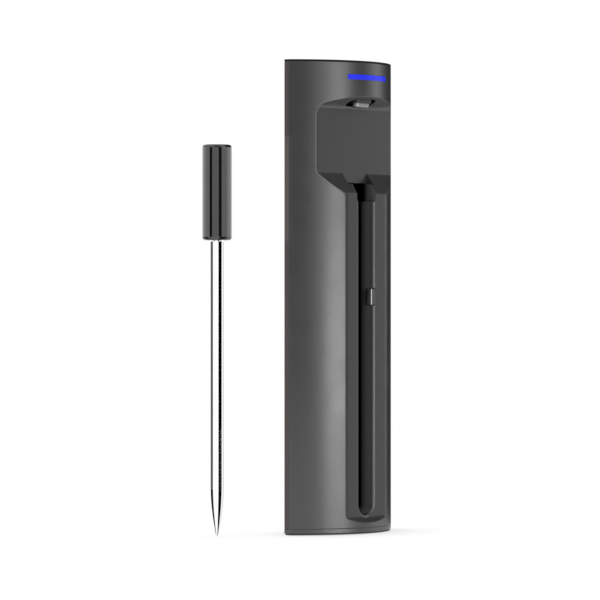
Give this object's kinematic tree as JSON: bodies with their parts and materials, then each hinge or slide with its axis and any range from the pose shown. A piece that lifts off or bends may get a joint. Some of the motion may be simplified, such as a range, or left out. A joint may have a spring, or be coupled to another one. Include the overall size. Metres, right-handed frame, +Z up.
{
  "type": "meat thermometer",
  "caption": "Wireless meat probe with steel stem and black ceramic handle, standing beside its slim upright charging case with a domed front.",
  "frame": {"origin": "centre of the underside of the case's foot, on the surface the object stands on", "axes": "+Z up along the case, -Y out of the domed front, +X to the right when facing the front"},
  "size_m": [0.0765, 0.0348, 0.1582],
  "materials": {
    "housing": "dark graphite, fine metallic satin on the crown",
    "cover": "dark brown moulded plate",
    "rubber": "matt silicone rubber",
    "cap": "black",
    "light": "blue lit diffuser",
    "board": "green solder mask",
    "lamp": "lamp package",
    "flex": "amber polyimide film",
    "insulator": "black engineering plastic",
    "spring_steel": "bright wire",
    "shield": "tinned steel",
    "ceramic_chip": "white ceramic",
    "chip": "black moulded package",
    "screw_steel": "zinc plated",
    "magnet": "nickel plated neodymium",
    "cell_foil": "aluminium laminate pouch",
    "tape": "black foam tape",
    "wire": "insulated wire",
    "connector": "natural nylon",
    "stem_steel": "mirror polished stainless steel",
    "handle_ceramic": "glossy black ceramic",
    "bush": "black heat-proof polymer",
    "contact_metal": "bright nickel",
    "sensor": "glass bead thermistor",
    "copper": "enamelled copper"
  },
  "bodies": {
    "case": {"front_housing": "housing", "back_cover": "cover", "back_grip_pad": "rubber", "top_end_cap": "cap", "bottom_end_cap": "housing", "base_foot_pad": "rubber", "led_light_bar": "light", "led_board": "board", "led_lamps": "lamp", "led_flex_cable": "flex", "socket_contact_holder": "insulator", "socket_springs": "spring_steel", "stem_contact_holder": "insulator", "main_board": "board", "radio_module": "shield", "radio_antenna": "ceramic_chip", "board_chips": "chip", "board_screws": "screw_steel", "cover_screws": "screw_steel", "back_magnets": "magnet", "battery_cell": "cell_foil", "battery_tape": "tape", "battery_leads": "wire", "battery_plug": "connector", "usb_c_shell": "shield", "usb_c_tongue": "insulator", "usb_c_board": "board"},
    "plunger": {"socket_plunger": "contact_metal"},
    "leaf": {"stem_contact": "contact_metal"},
    "probe": {"probe_tip": "stem_steel", "probe_stem": "stem_steel", "handle_sleeve": "handle_ceramic", "stem_bush": "bush", "handle_end_contact": "contact_metal", "probe_board": "board", "probe_power_cell": "cell_foil", "probe_radio_chip": "chip", "ambient_sensor": "sensor", "antenna_coil": "copper", "food_sensor": "sensor", "sensor_ribbon": "flex"}
  },
  "joints": [
    {"name": "probe_lift", "type": "slide", "parent": "case", "child": "probe", "axis": [0, 0, 1], "range_m": [0, 0.15]},
    {"name": "plunger_press", "type": "slide", "parent": "case", "child": "plunger", "axis": [0, 0, 1], "range_m": [0, 0.001], "stiffness_N_per_m": 200, "springref_m": -0.0005, "deforming": ["socket_springs"]},
    {"name": "leaf_flex", "type": "slide", "parent": "case", "child": "leaf", "axis": [1, 0, 0], "range_m": [0, 0.0004], "stiffness_N_per_m": 500, "springref_m": -0.0002}
  ]
}
